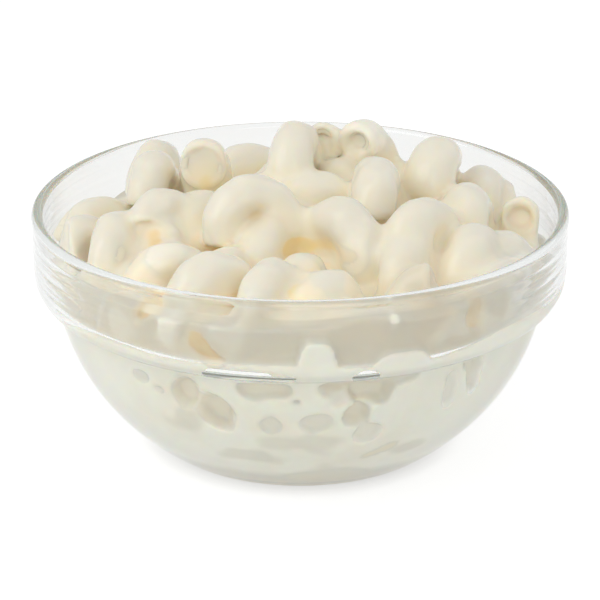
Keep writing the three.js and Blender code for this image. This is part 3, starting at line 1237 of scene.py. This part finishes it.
def tube_section(outer, inner, half):
    """Turns along the bend and radii: out along the outside and back along the bore."""
    way = np.linspace(-half, half, BEND_STEPS + 1)
    near, far = END_TURN - half, half - END_TURN
    path = [(-half, outer - END_BEVEL), (near, outer), *[(a, outer) for a in way[1:-1]]]
    path += [(far, outer), (half, outer - END_BEVEL), (half, inner + END_BEVEL), (far, inner)]
    return path + [(a, inner) for a in way[-2:0:-1]] + [(near, inner), (-half, inner + END_BEVEL)]


def tube_mesh(elbow, swell):
    outer = TUBE_RADIUS * swell - FILM
    half = radians(elbow[6]) / 2 - END_RECESS / BEND_RADIUS
    path = tube_section(outer, outer - MACARONI_WALL, half)
    round_way = np.arange(RING_SIDES) * 2 * pi / RING_SIDES
    rings = []
    for a, r in path:
        reach = BEND_RADIUS + r * np.cos(round_way)
        rings.append(np.column_stack([reach * sin(a), r * np.sin(round_way), reach * cos(a)]))
    places = np.vstack(rings) @ elbow_rotation(elbow).T + np.array(elbow[:3])
    faces = []
    for i in range(len(path)):
        a, b = i * RING_SIDES, (i + 1) % len(path) * RING_SIDES
        for k in range(RING_SIDES):
            n = (k + 1) % RING_SIDES
            faces.append((a + k, b + k, b + n, a + n))
    return places, faces


# %% Keep the tubes that show
SHOWN_POINTS = 3
CLEAR_OF_SAUCE = 0.02
GLASS_ROOM = 0.4
PASTA_ROUGHNESS = 0.3
PASTA_SCATTER = 0.2


def fits(places):
    """Whether a tube stays clear of the glass."""
    room = wall_radius(places[:, 2]) - np.hypot(places[:, 0], places[:, 1])
    return room.min() > GLASS_ROOM and places[:, 2].min() > BASE_THICKNESS


def showing(places):
    """How many points of a tube stand clear of the sauce."""
    return int((sample(heap_field, (places - LOW) / VOXEL) > CLEAR_OF_SAUCE).sum())


def shown_tubes():
    """The points and faces of all tubes that show, and their number."""
    parts, all_faces = [], []
    for elbow, shape in zip(all_elbows, shapes):
        places, faces = tube_mesh(elbow, shape[0])
        if fits(places) and showing(places) >= SHOWN_POINTS:
            first = sum(len(part) for part in parts)
            parts.append(places)
            all_faces += [tuple(first + k for k in face) for face in faces]
    return np.vstack(parts), all_faces, len(parts)


tube_points, tube_faces, tube_count = shown_tubes()
pasta_colours = (CREST, MIDDLE, MIDDLE, DEPTH, PIT)
pasta_material = food_material("cooked_pasta", pasta_colours, PASTA_ROUGHNESS, PASTA_SCATTER)
macaroni = make_piece("elbow_macaroni", tube_points, tube_faces, pasta_material)
keep_value(macaroni, "hollow", hollowness((tube_points - LOW) / VOXEL) + spots(tube_points, SHADE_AND_LIGHT_SPOTS))
tie(macaroni, "cooked_pasta", "macaroni_heap")
print(f"{tube_count} of {len(all_elbows)} elbows show some pasta")

# %% [markdown]
# ## Table
#
# The bowl stands on a light table, with a faint shadow at its foot. A white sheet lit from above would
# need so much light that the sauce loses its form, so the floor glows by itself, less so under the foot.

# %% Floor
FLOOR_REACH = 550.0
FLOOR_DROP = 0.0002
TABLE_GREY = (0.33, 0.33, 0.33, 1)
TABLE_ROUGHNESS = 0.7
TABLE_GLOSS = 0.2
TABLE_GLOW = 0.77
FOOT_SHADOW = 0.72
SHADOW_ENDS = (0.031, 0.037)


def floor_material():
    material, tree, output = new_material("white_table")
    place = add_node(tree, "TexCoord", {})["Object"]
    away = add_node(tree, "VectorMath", {0: place}, "LENGTH")["Value"]
    surface = {
        "Base Color": TABLE_GREY,
        "Roughness": TABLE_ROUGHNESS,
        "Specular IOR Level": TABLE_GLOSS,
        "Emission Color": map_range(tree, away, SHADOW_ENDS, (FOOT_SHADOW, 1.0)),
        "Emission Strength": TABLE_GLOW,
    }
    tree.links.new(add_node(tree, "BsdfPrincipled", surface)["BSDF"], output["Surface"])
    return material


corners = [(-1, -1, 0), (1, -1, 0), (1, 1, 0), (-1, 1, 0)]
floor = make_piece("white_table", np.array(corners) * FLOOR_REACH, [(0, 1, 2, 3)], floor_material())
floor.location.z = -FLOOR_DROP

# %% [markdown]
# ## Light
#
# Food is lit softly, so that sauce gleams without hard spots. A sky texture would light it from all sides
# alike, but four round area lights keep some direction: the key light from the upper left, a weaker one in
# front, and two behind and above. A grey surround gives the glass something darker to bend into its edges.

# %% Lights and surround
# Each light's place, aim and size in metres, its power in watts and its colour.
LIGHTS = {
    "overhead_light": ((-0.1, 0.25, 1.1), (0, 0, 0.03), 1.1, 0.5, (1, 1, 1)),
    "key_light": ((-0.75, -0.35, 0.75), (0, 0, 0.05), 0.9, 3.8, (1, 0.995, 0.98)),
    "front_light": ((0.15, -0.95, 0.5), (0, 0, 0.03), 0.8, 1.85, (1, 1, 1)),
    "back_light": ((0.75, 0.45, 0.7), (0, 0, 0.05), 0.9, 1.0, (1, 1, 1)),
}
ROOM_LEVELS = (0.70, 0.60)


def soft_light(name, place, aim, size, power, colour):
    data = bpy.data.lights.new(name, "AREA")
    data.shape = "DISK"
    data.size = size
    data.energy = power
    data.color = colour
    light = bpy.data.objects.new(name, data)
    bpy.context.scene.collection.objects.link(light)
    light.location = place
    direction = Vector(aim) - Vector(place)
    light.rotation_euler = direction.to_track_quat("-Z", "Y").to_euler()


def surround(levels):
    """A grey room that grows a little darker towards its ceiling."""
    world = bpy.data.worlds.new("surround")
    bpy.context.scene.world = world
    world.use_nodes = True
    tree = world.node_tree
    way = add_node(tree, "TexCoord", {})["Generated"]
    rise = add_node(tree, "SeparateXYZ", {"Vector": way})["Z"]
    background = tree.nodes["Background"].inputs
    background["Color"].default_value = (1, 1, 1, 1)
    tree.links.new(map_range(tree, rise, (0.0, 1.0), levels), background["Strength"])


for name, settings in LIGHTS.items():
    soft_light(name, *settings)
surround(ROOM_LEVELS)
bpy.context.scene.view_settings.view_transform = "Standard"
